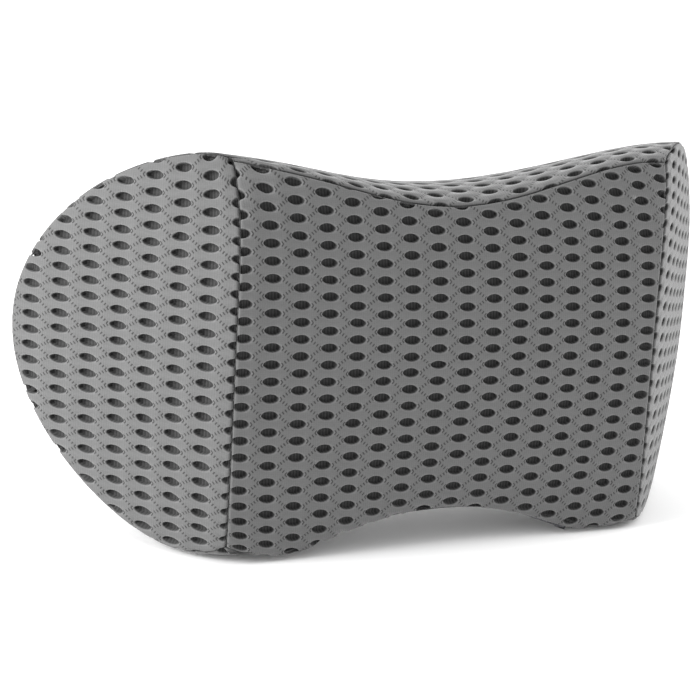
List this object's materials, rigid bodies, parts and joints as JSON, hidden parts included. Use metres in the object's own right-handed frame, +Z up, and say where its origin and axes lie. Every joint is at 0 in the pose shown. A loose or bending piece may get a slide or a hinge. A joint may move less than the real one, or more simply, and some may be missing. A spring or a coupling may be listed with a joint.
{
  "type": "lumbar support cushion",
  "caption": "Waisted half-round foam back support cushion in a zipped grey spacer-mesh cover with flat back face and flared ends.",
  "frame": {"origin": "centre of the flat face that rests against the seat back", "axes": "+X along the width, +Y from the flat face to the crown, +Z up as the cushion sits against a seat back"},
  "size_m": [0.3558, 0.1048, 0.1868],
  "materials": {
    "cover_mesh": "grey polyester spacer mesh with oval holes in a brick layout",
    "sewing_thread": "dark grey polyester sewing thread",
    "zipper_tape": "black woven polyester tape",
    "zipper_coil": "black nylon monofilament coil",
    "zipper_metal": "gunmetal-painted zinc die casting",
    "liner_cloth": "thin white knitted polyester",
    "memory_foam": "cream open-cell memory foam"
  },
  "bodies": {
    "cushion": {"flat_panel": "cover_mesh", "crown_panel": "cover_mesh", "left_end_panel": "cover_mesh", "right_end_panel": "cover_mesh", "top_seam_thread": "sewing_thread", "left_seam_thread": "sewing_thread", "right_seam_thread": "sewing_thread", "zipper_front_stitching": "sewing_thread", "zipper_rear_stitching": "sewing_thread", "zipper_front_tape": "zipper_tape", "zipper_rear_tape": "zipper_tape", "zipper_front_coil": "zipper_coil", "zipper_rear_coil": "zipper_coil", "zipper_front_top_stop": "zipper_metal", "zipper_rear_top_stop": "zipper_metal", "zipper_bottom_stop": "zipper_metal", "liner_flat_panel": "liner_cloth", "liner_crown_panel": "liner_cloth", "liner_left_end": "liner_cloth", "liner_right_end": "liner_cloth", "foam_core": "memory_foam"},
    "slider": {"zipper_slider": "zipper_metal"},
    "pull": {"zipper_pull": "zipper_metal"}
  },
  "joints": [
    {"name": "zipper_travel", "type": "hinge", "parent": "cushion", "child": "slider", "pos_m": [0, 0.009, -0.2718], "axis": [0, -1, 0], "range_deg": [0, 41.4]},
    {"name": "pull_flip", "type": "hinge", "parent": "slider", "child": "pull", "pos_m": [0.06846, 0.009, -0.09066], "axis": [0, -1, 0], "range_deg": [0, 165]}
  ]
}
